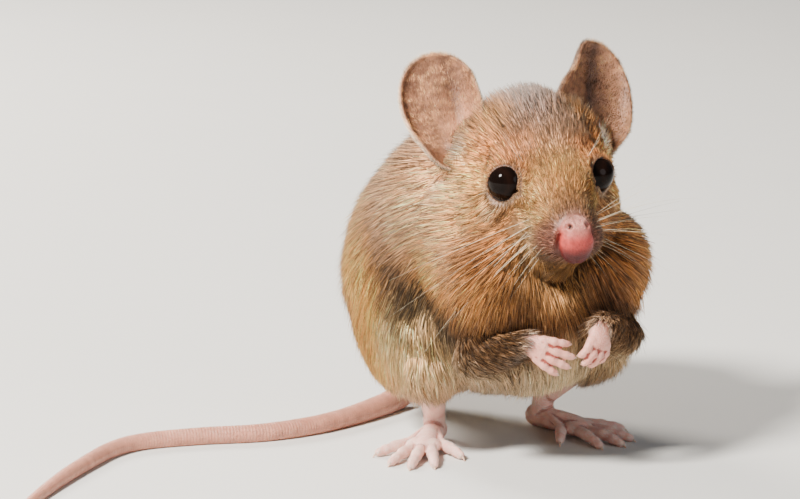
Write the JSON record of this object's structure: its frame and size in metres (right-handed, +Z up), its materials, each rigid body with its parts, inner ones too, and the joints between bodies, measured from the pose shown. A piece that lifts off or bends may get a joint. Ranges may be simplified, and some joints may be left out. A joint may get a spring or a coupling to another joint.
{
  "type": "wood mouse, still model",
  "caption": "Life-size still model of a long-tailed field mouse sitting on its hind feet, forepaws held before its chest, tail curved on the ground.",
  "frame": {"origin": "middle of the bounding box's underside, on the floor the mouse sits on", "axes": "+Z up, the mouse faces -Y and its left side is +X; its tail lies towards -X"},
  "size_m": [0.099, 0.0554, 0.0556],
  "materials": {
    "coat": "short soft fur",
    "bare_skin": "thin pink skin with fine hair",
    "eye": "wet and glossy"
  },
  "bodies": {
    "root": {"head": "coat", "neck": "coat", "trunk": "coat", "foreleg_left": "coat", "foreleg_right": "coat", "hindleg_left": "coat", "hindleg_right": "coat", "ear_left": "bare_skin", "ear_right": "bare_skin", "nose": "bare_skin", "forepaw_left": "bare_skin", "forepaw_right": "bare_skin", "hindfoot_left": "bare_skin", "hindfoot_right": "bare_skin", "tail_1": "bare_skin", "tail_2": "bare_skin", "tail_3": "bare_skin", "tail_4": "bare_skin", "eye_left": "eye", "eye_right": "eye"}
  },
  "joints": []
}
